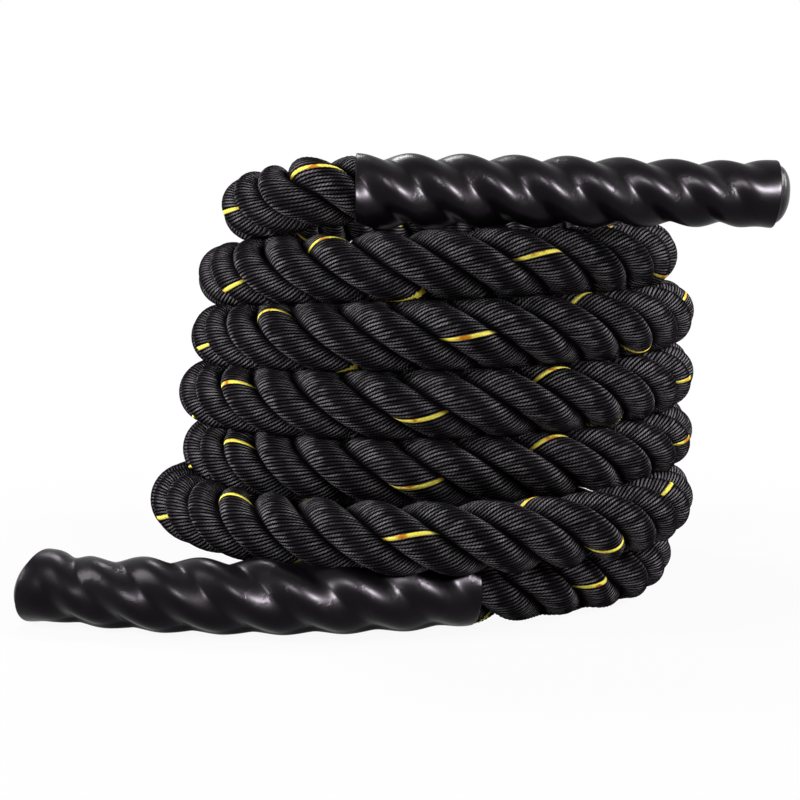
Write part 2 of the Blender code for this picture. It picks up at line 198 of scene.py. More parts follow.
class Board:
    """Node tree of one material or world, with one method that adds any node."""

    def __init__(self, tree: bpy.types.NodeTree) -> None:
        """Start from an empty tree."""
        tree.nodes.clear()
        self.tree = tree

    def node(
        self,
        kind: str,
        settings: Mapping[str, object] | None = None,
        sockets: Mapping[str | int, object] | None = None,
    ) -> bpy.types.Node:
        """Add a node.

        Args:
            kind: The node's type.
            settings: Its properties, which are set first.
            sockets: Values or links of its inputs, by name or number.

        Returns:
            The node.
        """
        made = self.tree.nodes.new(kind)
        for name, setting in (settings or {}).items():
            setattr(made, name, setting)
        for name, given in (sockets or {}).items():
            target = made.inputs[name]
            if isinstance(given, Value):
                given = given.socket
            if isinstance(given, bpy.types.NodeSocket):
                self.tree.links.new(given, target)
            elif isinstance(given, tuple) and len(given) == 3 and target.type == "RGBA":
                target.default_value = (*given, 1.0)
            else:
                target.default_value = given
        return made

    def value(
        self,
        kind: str,
        settings: Mapping[str, object] | None = None,
        sockets: Mapping[str | int, object] | None = None,
        output: str | int = 0,
    ) -> Value:
        """Add a node and wrap one of its outputs as a number.

        Args:
            kind: The node's type.
            settings: Its properties.
            sockets: Its inputs.
            output: Which output.

        Returns:
            The output's value.
        """
        return Value(self, self.node(kind, settings, sockets).outputs[output])

    def chart(self, name: str) -> tuple[Value, Value]:
        """Two numbers that a mesh holds for each corner in a map.

        Args:
            name: The map's name.

        Returns:
            The first and the second number.
        """
        mapped = self.node("ShaderNodeUVMap", {"uv_map": name})
        parts = self.node("ShaderNodeSeparateXYZ", None, {0: mapped.outputs[0]})
        return Value(self, parts.outputs[0]), Value(self, parts.outputs[1])

    def place(self, *parts: Value) -> bpy.types.NodeSocket:
        """Vector of up to three numbers."""
        return self.node("ShaderNodeCombineXYZ", None, dict(enumerate(parts))).outputs[0]

    def noise(self, scale: float, detail: float = 2.0, where: bpy.types.NodeSocket | None = None) -> Value:
        """Smooth noise around a half.

        Args:
            scale: Cells for each metre, or for each unit of where.
            detail: Octaves.
            where: Place to read it at; the object's own place by default.

        Returns:
            The noise.
        """
        if where is None:
            where = self.node("ShaderNodeTexCoord").outputs["Object"]
        return self.value("ShaderNodeTexNoise", None, {"Vector": where, "Scale": scale, "Detail": detail})

    def mix(
        self,
        share: Value,
        low: Colour | bpy.types.NodeSocket,
        high: Colour | bpy.types.NodeSocket,
    ) -> bpy.types.NodeSocket:
        """Mix two colours.

        Args:
            share: Share of the second.
            low: The first, a colour or a socket.
            high: The second.

        Returns:
            The mixed colour.
        """
        made = self.node("ShaderNodeMix", {"data_type": "RGBA"}, {0: share, 6: low, 7: high})
        return made.outputs[2]

    def bump(self, height: Value, depth: float) -> bpy.types.NodeSocket:
        """Normal that leans with a height.

        Args:
            height: Height, as a share of the depth.
            depth: Depth in metres.

        Returns:
            The normal.
        """
        given = {"Strength": 1.0, "Distance": depth, "Height": height}
        return self.node("ShaderNodeBump", None, given).outputs[0]

    def looked_at(self) -> Value:
        """One for what the camera sees, directly, in a reflection or through glass.

        Returns:
            The share, 0 or 1.
        """
        path = self.node("ShaderNodeLightPath")
        camera, glossy, through = (
            Value(self, path.outputs[f"Is {kind} Ray"]) for kind in ("Camera", "Glossy", "Transmission")
        )
        return camera + glossy + through

    def surface(self, **sockets: object) -> None:
        """End the tree in a Principled shader.

        Args:
            sockets: Its inputs, named with underscores.
        """
        named = {
            name.replace("_", " ").title().replace("Ior", "IOR"): given
            for name, given in sockets.items()
        }
        shader = self.node("ShaderNodeBsdfPrincipled", None, named)
        self.node("ShaderNodeOutputMaterial", None, {"Surface": shader.outputs[0]})


def new_board(name: str) -> tuple[bpy.types.Material, Board]:
    """Material with an empty tree.

    Args:
        name: The material's name.

    Returns:
        The material and its board.
    """
    material = bpy.data.materials.new(name)
    material.use_nodes = True
    return material, Board(material.node_tree)


# Finishes


@dataclass(frozen=True)
class YarnFinish:
    """Matt black yarn, laid side by side round each strand, with one yellow tracer yarn.

    The tracer's width, the strand's girth and the ply's length are in millimetres.
    """

    name: str = "rope_fibre"
    # The gap colour is painted shade, laid in the hollows between the yarns.
    yarn_gap_shade: Colour = (0.0012, 0.0011, 0.0012)
    shade: Colour = (0.0052, 0.0047, 0.0056)
    # The light colour is painted light, the tone of the yarns' backs where lamps would catch them.
    light: Colour = (0.202, 0.190, 0.204)
    warm: Colour = (0.0095, 0.0070, 0.0092)
    tracer: Colour = (0.93, 0.76, 0.06)
    # The pale tracer colour is a painted highlight.
    tracer_highlight: Colour = (1.0, 0.93, 0.22)
    tracer_deep: Colour = (0.62, 0.22, 0.010)
    # The dull tracer colour is painted shade, where the tracer dips towards the furrows.
    tracer_furrow_shade: Colour = (0.16, 0.10, 0.010)
    tracer_width: float = 1.35
    strand_girth: float = 56.0
    ply_length: float = 1.7
    yarn_depth: float = 0.85 * MILLIMETRE

    def make(self) -> bpy.types.Material:
        """Build the material, which reads the maps yarn and strand of the rope's mesh.

        Returns:
            The material.
        """
        material, board = new_board(self.name)
        # Yarns side by side, each with its twist, its fuzz and its wear
        across, along = board.chart("yarn")
        rounds, crest = board.chart("strand")
        sway = board.noise(1.0, 2.0, board.place(across * 0.30, along * 0.05))
        yarns = across + (sway - 0.5) * 0.9
        yarn = yarns.ridge()
        number = yarns.floor()
        own = board.value("ShaderNodeTexWhiteNoise", {"noise_dimensions": "1D"}, {"W": number})
        ply = (along / self.ply_length + yarns.fraction() * 1.1 + own).ridge()
        fuzz = board.noise(1.0, 3.0, board.place(across * 2.6, along * 1.5))
        wear = board.noise(1.0, 2.0, board.place(across * 0.5, along * 0.12))
        patch = board.noise(24.0, 3.0)
        # Painted light: the yarns' backs are laid lighter, as where the lamps catch their fibres, and the
        # plies, fuzz and wear make it uneven
        lit = yarn.ramp(0.42, 1.0) * (0.30 + 0.70 * ply.ramp(0.10, 0.90)) * (0.72 + 0.28 * own)
        lit = lit * (0.45 + 0.9 * fuzz) * (0.55 + 0.45 * wear.ramp(0.30, 0.60))
        # Painted light: each strand's flanks are laid lighter and its middle darker, as lamps at its sides
        # give, made uneven by the wear noise; painted shade darkens the yarns towards the furrows.
        painted_flank_light = (crest + 0.10 + (wear - 0.5) * 0.7).absolute()
        lit = lit * (0.30 + 0.70 * painted_flank_light.ramp(0.06, 0.50)) * crest.absolute().ramp(1.0, 0.68)
        lit = lit * lit * 1.6
        dark = board.mix(patch.ramp(0.40, 0.70), self.shade, self.warm)
        # Painted shade: the hollows between the yarns are laid darker than the fibre's own tone.
        colour = board.mix(yarn.ramp(0.05, 0.60), self.yarn_gap_shade, dark)
        colour = board.mix(lit, colour, self.light)
        # The tracer yarn comes to the surface once in each round of its strand
        from_tracer = ((rounds + 0.5).fraction() - 0.5) * self.strand_girth
        frayed = from_tracer.absolute() + (fuzz - 0.5) * 0.5
        on_tracer = frayed.ramp(self.tracer_width, self.tracer_width * 0.80)
        # Deeper orange in patches of the tracer, on one side of its strand's crest partway to the furrow,
        # where the wear noise is high.
        deep = crest + (wear - 0.5) * 1.2
        orange_share = deep.ramp(-0.05, 0.15) * deep.ramp(0.60, 0.40) * wear.ramp(0.42, 0.56)
        # Painted highlight: the tracer is laid paler on the backs of its plies where the fuzz is high.
        gold = board.mix(ply.ramp(0.2, 0.9) * fuzz.ramp(0.35, 0.6), self.tracer, self.tracer_highlight)
        gold = board.mix(orange_share, gold, self.tracer_deep)
        # Painted shade: the tracer dulls to a dark olive as it nears the furrows.
        gold = board.mix(crest.absolute().ramp(0.70, 0.98), gold, self.tracer_furrow_shade)
        colour = board.mix(on_tracer, colour, gold)
        # Height of the yarns, with the tracer standing up among them
        height = yarn * 0.70 + ply * yarn * 0.30 + fuzz * 0.22
        off_middle = from_tracer / self.tracer_width
        tracer_height = (1 - off_middle * off_middle) + ply * 0.25
        height = height * (1 - on_tracer) + (tracer_height * 1.25 + 0.3) * on_tracer
        board.surface(
            base_color=colour,
            roughness=0.72 - 0.16 * lit - 0.22 * on_tracer,
            normal=board.bump(height, self.yarn_depth),
            specular_ior_level=0.0,
        )
        return material


@dataclass(frozen=True)
class SleeveFinish:
    """Semi-gloss black tube, shrunk on, with fine wrinkles and scuffs."""

    name: str = "shrunk_sleeve"
    deep: Colour = (0.0018, 0.0012, 0.0018)
    worn: Colour = (0.0056, 0.0042, 0.0058)
    sheen: float = 0.078
    sheen_tint: tuple[float, float, float, float] = (0.98, 0.88, 1.0, 1.0)
    wrinkle_depth: float = 0.4 * MILLIMETRE

    def make(self) -> bpy.types.Material:
        """Build the material, which reads the map sleeve of the mesh.

        Returns:
            The material.
        """
        material, board = new_board(self.name)
        along, around = board.chart("sleeve")
        cells = board.noise(55.0, 4.0)
        grain = board.noise(900.0, 3.0)
        creases = board.noise(1.0, 3.0, board.place(along * 0.16, around * 2.2))
        scuffs = board.noise(1.0, 4.0, board.place(along * 0.5, around * 9.0)).ramp(0.62, 0.8)
        wrinkles = creases.ramp(0.45, 0.72) * cells.ramp(0.4, 0.65)
        colour = board.mix(cells.ramp(0.35, 0.7) * 0.6 + scuffs * 0.4, self.deep, self.worn)
        board.surface(
            base_color=colour,
            roughness=0.25 + cells * 0.08 + scuffs * 0.10 + grain * 0.05,
            normal=board.bump(wrinkles * 0.35 + cells * 0.30 + grain * 0.03, self.wrinkle_depth),
            specular_ior_level=self.sheen,
            specular_tint=self.sheen_tint,
        )
        return material


@dataclass(frozen=True)
class CapFinish:
    """Moulded black plug, a little glossier, with fine turning marks."""

    name: str = "moulded_cap"
    deep: Colour = (0.006, 0.005, 0.006)
    worn: Colour = (0.016, 0.014, 0.015)
    sheen: float = 0.16
    mark_depth: float = 0.15 * MILLIMETRE

    def make(self) -> bpy.types.Material:
        """Build the material.

        Returns:
            The material.
        """
        material, board = new_board(self.name)
        cells = board.noise(140.0, 4.0)
        grain = board.noise(1600.0, 2.0)
        board.surface(
            base_color=board.mix(cells.ramp(0.45, 0.75), self.deep, self.worn),
            roughness=0.24 + cells * 0.14,
            normal=board.bump(cells * 0.3 + grain * 0.3, self.mark_depth),
            specular_ior_level=self.sheen,
        )
        return material


@dataclass(frozen=True)
class TapeFinish:
    """Matt black cloth tape with a fine weave, whose step and radius are in millimetres."""

    name: str = "whipping_tape"
    deep: Colour = (0.012, 0.012, 0.014)
    thread: Colour = (0.034, 0.034, 0.038)
    weave: float = 0.9
    radius: float = 20.0
    thread_depth: float = 0.2 * MILLIMETRE

    def make(self) -> bpy.types.Material:
        """Build the material, which reads the map sleeve of the mesh.

        Returns:
            The material.
        """
        material, board = new_board(self.name)
        along, around = board.chart("sleeve")
        cloth = (along / self.weave).ridge() * (around * self.radius / self.weave).ridge()
        board.surface(
            base_color=board.mix(cloth, self.deep, self.thread),
            roughness=0.80 - cloth * 0.15,
            normal=board.bump(cloth, self.thread_depth),
        )
        return material


@dataclass(frozen=True)
class FloorFinish:
    """Pale floor that looks white to the camera but keeps the object's shadow."""

    name: str = "pale_floor"
    colour: Colour = (0.50, 0.49, 0.495)
    seen: Colour = (1.0, 1.0, 1.0)
    mottled: float = 1.04
    veil: float = 0.93
    shadow_reach: float = 0.28
    plain_reach: float = 0.62

    def make(self) -> bpy.types.Material:
        """Build the material.

        Returns:
            The material.
        """
        material, board = new_board(self.name)
        mottle = board.noise(3.0, 2.0)
        paint = board.mix(mottle, self.colour, tuple(part * self.mottled for part in self.colour))
        plain = board.node("ShaderNodeBsdfDiffuse", None, {"Color": paint})
        glow = board.node("ShaderNodeEmission", None, {"Color": self.seen, "Strength": 1.0})
        place = board.node("ShaderNodeTexCoord").outputs["Object"]
        reach = board.value("ShaderNodeVectorMath", {"operation": "LENGTH"}, {0: place}, "Value")
        veil = self.veil + reach.ramp(self.shadow_reach, self.plain_reach) * (1 - self.veil)
        shown = board.looked_at() * veil
        both = board.node("ShaderNodeMixShader", None, {0: shown, 1: plain.outputs[0], 2: glow.outputs[0]})
        board.node("ShaderNodeOutputMaterial", None, {"Surface": both.outputs[0]})
        return material


# The rope's middle line


def unit(vectors: np.ndarray) -> np.ndarray:
    """Vectors of length one, along the last axis."""
    return vectors / np.linalg.norm(vectors, axis=-1, keepdims=True)


def ease(shares: np.ndarray) -> np.ndarray:
    """Smooth rise from 0 to 1 as the shares go from 0 to 1."""
    held = np.clip(shares, 0.0, 1.0)
    return held * held * (3 - 2 * held)


def run_of(points: np.ndarray) -> np.ndarray:
    """Length along a line at each of its points."""
    return np.concatenate([[0.0], np.cumsum(np.linalg.norm(np.diff(points, axis=0), axis=1))])


def read_line(where: np.ndarray, lengths: np.ndarray, points: np.ndarray) -> np.ndarray:
    """Points of a line at lengths along it.

    Args:
        where: The lengths to read at.
        lengths: Length along the line at each of its points.
        points: The line's points.

    Returns:
        The points between.
    """
    return np.stack([np.interp(where, lengths, part) for part in points.T], -1)


def cubic(
    part: np.ndarray,
    first: np.ndarray,
    slope_in: np.ndarray,
    last: np.ndarray,
    slope_out: np.ndarray,
) -> np.ndarray:
    """Smooth curve between two values.

    Args:
        part: Shares of the way from the first to the last.
        first: The value at 0.
        slope_in: The slope there.
        last: The value at 1.
        slope_out: The slope there.

    Returns:
        The curve's values.
    """
    square, cube = part**2, part**3
    return (
        (2 * cube - 3 * square + 1) * first
        + (cube - 2 * square + part) * slope_in
        + (3 * square - 2 * cube) * last
        + (cube - square) * slope_out
    )


@dataclass(frozen=True)
class SmoothTable:
    """Smooth curve through evenly spaced values, level beside an equal value."""

    values: tuple[float, ...]

    def slope(self, index: int) -> float:
        """Slope of the curve at one of its values.

        Args:
            index: The value's number.

        Returns:
            The slope, which is level beside an equal value.
        """
        last = len(self.values) - 1
        before, value, after = (self.values[min(max(index + step, 0), last)] for step in (-1, 0, 1))
        return 0.0 if value in (before, after) else (after - before) / 2

    def at(self, places: np.ndarray) -> np.ndarray:
        """Values of the curve.

        Args:
            places: Places, counted in values.

        Returns:
            The curve's values there.
        """
        values = np.array(self.values)
        slopes = np.array([self.slope(index) for index in range(len(values))])
        low = np.clip(np.floor(places).astype(int), 0, len(values) - 2)
        return cubic(places - low, values[low], slopes[low], values[low + 1], slopes[low + 1])


@dataclass(frozen=True)
class GripLine:
    """Middle line of a grip, from its mouth to its far end, as in the CAD model.

    The mouth's shares are its place from the coil's axis, in radii of the coil. The bow is
    how far the line bends aside in its middle, and the droop how far its end hangs down.
    """

    side: Side
    mouth_shares: tuple[float, float]
    height: float
    heading: float
    bow: float
    length: float
    droop: float

    @property
    def mouth(self) -> np.ndarray:
        """Middle of the sleeve's mouth."""
        place = COIL_RADIUS * np.array([*self.mouth_shares, 0.0]) + COIL_AXIS
        return place + np.array([0.0, 0.0, self.height])

    @property
    def leave(self) -> np.ndarray:
        """Direction of the line at the mouth."""
        line = self.points(MILLIMETRE)
        return unit(line[1] - line[0])

    def points(self, spacing: float) -> np.ndarray:
        """Points along the grip.

        Args:
            spacing: Distance between them.

        Returns:
            The points, mouth first.
        """
        shares = np.linspace(0.0, 1.0, round(self.length / spacing) + 1)[:, None]
        forward = np.array([math.cos(self.heading), math.sin(self.heading), 0.0])
        across = np.cross((0.0, 0.0, 1.0), forward)
        line = self.mouth + forward * self.length * shares
        line = line + across * 4 * self.bow * shares * (1 - shares)
        line[:, 2] -= self.droop * shares[:, 0] ** 2
        return line


UPPER_GRIP = GripLine(Side.UPPER, (-0.327, -0.864), 0.24128, 0.0, 0.0, 0.243, 0.0018)
LOWER_GRIP = GripLine(Side.LOWER, (0.150, -1.078), 0.0212, math.radians(178.1), 0.027, 0.257, 0.0)
UPPER_TAIL_SHARES = ((-0.768, -0.156, -0.10), (-0.752, -0.476, 0.10), (-0.615, -0.730, 0.50))
LOWER_TAIL_SHARES = ((0.585, -0.800, 0.07), (0.385, -0.965, 0.52))


def tail_points(
    start: np.ndarray,
    leave: np.ndarray,
    shares: tuple[tuple[float, float, float], ...],
    grip: GripLine,
) -> np.ndarray:
    """Points of the rope between an end of the coil and a grip's mouth.

    Args:
        start: The coil's end.
        leave: The rope's direction there.
        shares: Places between, as shares of the coil's radius and of the climb.
        grip: The grip that the rope runs into.

    Returns:
        The points, from the coil to the mouth.
    """
    mouth, enter, straight = grip.mouth, grip.leave, ROPE_DIAMETER / 2
    knots = [start + leave * straight]
    for along, across, climb in shares:
        height = start[2] + climb * (mouth[2] - start[2])
        knots.append(COIL_AXIS + np.array([along * COIL_RADIUS, across * COIL_RADIUS, height]))
    knots.append(mouth - enter * straight)
    slopes = [leave * np.linalg.norm(knots[1] - knots[0])]
    slopes += [(after - before) / 2 for before, after in zip(knots, knots[2:])]
    slopes.append(enter * np.linalg.norm(knots[-1] - knots[-2]))
    route = [start[None]]
    part = np.linspace(0.0, 1.0, 40)[:, None]
    for first, slope_in, last, slope_out in zip(knots, slopes, knots[1:], slopes[1:]):
        route.append(cubic(part, first, slope_in, last, slope_out))
    return np.concatenate(route + [mouth[None]])


@dataclass
class RopeRoute:
    """Middle line of the whole rope, from the lower grip's end to the upper grip's end."""

    spacing: float = MILLIMETRE
    same_place: float = 1e-6
    coil_points: int = 4000
    smoothing: int = 12
    points: np.ndarray = field(init=False)
    lengths: np.ndarray = field(init=False)
    turns: np.ndarray = field(init=False)

    def __post_init__(self) -> None:
        """Join the stretches and space their points evenly."""
        turns = np.linspace(COIL_START_TURN, COIL_END_TURN, self.coil_points)
        quarters = 4 * turns + 1
        reach = COIL_RADIUS * SmoothTable(REACH_SHARES).at(quarters)
        angle = FULL_TURN * turns
        height = SmoothTable(HEIGHTS).at(quarters)
        coil = COIL_AXIS + np.stack([reach * np.cos(angle), reach * np.sin(angle), height], -1)
        low_tail = tail_points(coil[0], unit(coil[0] - coil[1]), LOWER_TAIL_SHARES, LOWER_GRIP)[::-1]
        high_tail = tail_points(coil[-1], unit(coil[-1] - coil[-2]), UPPER_TAIL_SHARES, UPPER_GRIP)
        low_grip = LOWER_GRIP.points(self.spacing)[::-1]
        high_grip = UPPER_GRIP.points(self.spacing)
        stretches = (low_grip, low_tail, coil, high_tail, high_grip)
        points = np.concatenate(stretches)
        unwound = np.full(len(points), np.nan)
        marks = np.concatenate([turns if part is coil else unwound[:len(part)] for part in stretches])
        apart = np.linalg.norm(np.diff(points, axis=0), axis=1)
        kept = np.concatenate([[True], apart > self.same_place])
        points, marks = points[kept], marks[kept]
        lengths = run_of(points)
        self.lengths = np.linspace(0.0, lengths[-1], round(lengths[-1] / self.spacing) + 1)
        self.points = self._smoothed(self._smoothed(read_line(self.lengths, lengths, points)))
        on_coil = ~np.isnan(marks)
        self.turns = np.stack([marks[on_coil], lengths[on_coil]])

    def _smoothed(self, points: np.ndarray) -> np.ndarray:
        """Even out the short wobbles of a line and keep its ends.

        Args:
            points: The line's points.

        Returns:
            As many points.
        """
        reach = self.smoothing
        before = 2 * points[0] - points[reach:0:-1]
        after = 2 * points[-1] - points[-2:-reach - 2:-1]
        padded = np.concatenate([before, points, after])
        weights = np.hanning(2 * reach + 3)[1:-1]
        weights /= weights.sum()
        return np.stack([np.convolve(padded[:, part], weights, "valid") for part in range(3)], -1)

    @property
    def total(self) -> float:
        """Length of the whole rope."""
        return float(self.lengths[-1])

    def at_turn(self, turn: float) -> float:
        """Length along the rope at which the coil has made so many turns."""
        return float(np.interp(turn, *self.turns))

    def mouth(self, side: Side) -> float:
        """Length along the rope at a grip's mouth."""
        return LOWER_GRIP.length if side is Side.LOWER else self.total - UPPER_GRIP.length

    def sections(self, lengths: np.ndarray) -> tuple[np.ndarray, np.ndarray, np.ndarray]:
        """Places and axes of the rope's sections.

        Args:
            lengths: Lengths along the rope.

        Returns:
            The middles, and the directions sideways and up of each section.
        """
        def read(where: np.ndarray) -> np.ndarray:
            """Points at lengths, straight on past the ends.

            Args:
                where: The lengths.

            Returns:
                The points.
            """
            found = read_line(np.clip(where, 0.0, self.total), self.lengths, self.points)
            before = np.minimum(where, 0)[:, None] * unit(self.points[1] - self.points[0])
            beyond = np.maximum(where - self.total, 0)[:, None] * unit(self.points[-1] - self.points[-2])
            return found + before + beyond

        step = 2 * self.spacing
        forward = unit(read(lengths + step) - read(lengths - step))
        side = unit(np.cross((0.0, 0.0, 1.0), forward))
        return read(lengths), side, np.cross(forward, side)


@dataclass(frozen=True)
class FrontRow:
    """Lay of one of the rows that the coil shows at its front.

    It gives the turn in the row's middle, the angle of the tracer's strand there, in turns,
    the length of the lay, and a dash of the tracer: its place from the middle, its distance
    to the next and its number along the rope.
    """

    turn: float
    angle: float
    lay: float
    dash: float
    spacing: float
    number: int


@dataclass
class StrandLay:
    """How the strands turn round the rope, and the yarns round their strand, along the rope."""

    route: RopeRoute
    rows: tuple[FrontRow, ...] = (
        FrontRow(0.75, 0.633, 0.0950, -0.0168, 0.0359, 0),
        FrontRow(1.75, 10.692, 0.0980, -0.0138, 0.0382, 26),
        FrontRow(2.75, 19.675, 0.0990, -0.0117, 0.0380, 50),
        FrontRow(3.75, 29.367, 0.0975, 0.0132, 0.0376, 75),
        FrontRow(4.75, 37.944, 0.1000, -0.0238, 0.0375, 98),
    )
    front_reach: float = 0.150
    grip_reach: float = 0.30
    usual_spacing: float = 0.0378
    upper_lay: float = 0.0888
    lower_lay: float = 0.0985
    upper_mouth_turns: float = 46.583
    lower_mouth_turns: float = -9.255
    evening: int = 45
    angles: np.ndarray = field(init=False)
    surfacings: np.ndarray = field(init=False)

    def __post_init__(self) -> None:
        """Lay out both tables along the route."""
        places, turned, dashes = [], [], []
        for row in self.rows:
            for reach in (-self.front_reach, self.front_reach):
                places.append(self.route.at_turn(row.turn) + reach)
                turned.append(row.angle + reach / row.lay)
                dashes.append(row.number + (reach - row.dash) / row.spacing)
        even, total, past = self.route.lengths, self.route.total, self.grip_reach
        low, high = self.route.mouth(Side.LOWER), self.route.mouth(Side.UPPER)
        turned = [
            self.lower_mouth_turns - past / self.lower_lay, self.lower_mouth_turns, *turned,
            self.upper_mouth_turns, self.upper_mouth_turns + past / self.upper_lay,
        ]
        dashes = [
            dashes[0] - places[0] / self.usual_spacing, *dashes,
            dashes[-1] + (total - places[-1]) / self.usual_spacing,
        ]
        turned = np.interp(even, [low - past, low, *places, high, high + past], turned)
        self.angles = self._evened(turned) * FULL_TURN
        self.surfacings = self._evened(np.interp(even, [0.0, *places, total], dashes))

    def _evened(self, values: np.ndarray) -> np.ndarray:
        """Round the corners of a table.

        Args:
            values: The table's values.

        Returns:
            As many values.
        """
        width = 2 * self.evening + 1
        steps = np.arange(self.evening, 0, -1)
        before = values[0] - (values[1] - values[0]) * steps
        after = values[-1] + (values[-1] - values[-2]) * steps[::-1]
        return np.convolve(np.concatenate([before, values, after]), np.full(width, 1 / width), "valid")

    def angle(self, lengths: np.ndarray) -> np.ndarray:
        """Angle of the tracer's strand at lengths along the rope."""
        return np.interp(lengths, self.route.lengths, self.angles)

    def surfacing(self, lengths: np.ndarray) -> np.ndarray:
        """How often the tracer has come to the surface by lengths along the rope."""
        return np.interp(lengths, self.route.lengths, self.surfacings)


# Meshes


@dataclass
class Skin:
    """Grid of points round a line: rings, panels round each ring, and columns on each panel.

    The last column of a panel lies on the first one of the next panel.
    """

    points: np.ndarray
    maps: dict[str, np.ndarray] = field(default_factory=dict)

    def normals(self) -> np.ndarray:
        """Directions out of the surface, each panel on its own.

        Returns:
            A direction for every point.
        """
        along = np.gradient(self.points, axis=0)
        across = np.gradient(self.points, axis=2)
        if self.points.shape[1] == 1:
            seam = self.points[:, :, 1] - self.points[:, :, -2]
            across[:, :, 0] = seam
            across[:, :, -1] = seam
        return unit(np.cross(across, along))

    def cut(self, first: int, last: int) -> "Skin":
        """Part of the grid between two rings, the last one included."""
        kept = slice(first, last + 1)
        return Skin(self.points[kept], {name: part[kept] for name, part in self.maps.items()})


def make_piece(name: str, skin: Skin, normals: np.ndarray, closed: bool = True) -> bpy.types.Object:
    """Object whose mesh is a skin.

    Args:
        name: The piece's name.
        skin: The grid.
        normals: The grid's directions out.
        closed: Whether both ends are closed by a fan.

    Returns:
        The object.
    """
    rings, panels, columns = skin.points.shape[:3]
    steps = columns - 1
    around = panels * steps
    verts = skin.points[:, :, :-1].reshape(-1, 3)
    ring, panel, column = np.indices((rings - 1, panels, steps)).reshape(3, -1)
    here = panel * steps + column
    there = (here + 1) % around
    near, far = ring * around, (ring + 1) * around
    quads = np.stack([near + here, near + there, far + there, far + here], -1)
    at_corner = (
        np.stack([ring, ring, ring + 1, ring + 1], -1).ravel(),
        np.repeat(panel, 4),
        np.stack([column, column + 1, column + 1, column], -1).ravel(),
    )
    corner_normals = normals[at_corner]
    corner_maps = {key: part[at_corner] for key, part in skin.maps.items()}
    corners, starts = quads.ravel(), np.arange(0, quads.size, 4)
    if closed:
        hubs = np.stack([verts[:around].mean(axis=0), verts[-around:].mean(axis=0)])
        index = np.arange(around)
        follow = (index + 1) % around
        low = np.stack([np.full(around, len(verts)), follow, index], -1)
        last = (rings - 1) * around
        high = np.stack([np.full(around, len(verts) + 1), last + index, last + follow], -1)
        fans = np.concatenate([low, high])
        rims = (verts[around:2 * around], verts[-2 * around:-around])
        outward = unit(hubs - np.stack([rim.mean(axis=0) for rim in rims]))
        verts = np.concatenate([verts, hubs])
        starts = np.concatenate([starts, len(corners) + np.arange(0, fans.size, 3)])
        corners = np.concatenate([corners, fans.ravel()])
        corner_normals = np.concatenate([corner_normals, np.repeat(outward, around * 3, axis=0)])
        empty = np.zeros((fans.size, 2))
        corner_maps = {key: np.concatenate([part, empty]) for key, part in corner_maps.items()}
    mesh = bpy.data.meshes.new(name)
    mesh.vertices.add(len(verts))
    mesh.vertices.foreach_set("co", verts.astype(np.float32).ravel())
    mesh.loops.add(len(corners))
    mesh.loops.foreach_set("vertex_index", corners.astype(np.int32))
    mesh.polygons.add(len(starts))
    mesh.polygons.foreach_set("loop_start", starts.astype(np.int32))
    mesh.update(calc_edges=True)
    mesh.validate()
    for key, part in corner_maps.items():
        layer = mesh.uv_layers.new(name=key)
        layer.data.foreach_set("uv", part.astype(np.float32).ravel())
    mesh.shade_smooth()
    mesh.normals_split_custom_set(corner_normals.tolist())
    made = bpy.data.objects.new(name, mesh)
    bpy.context.collection.objects.link(made)
    return made


# The pieces


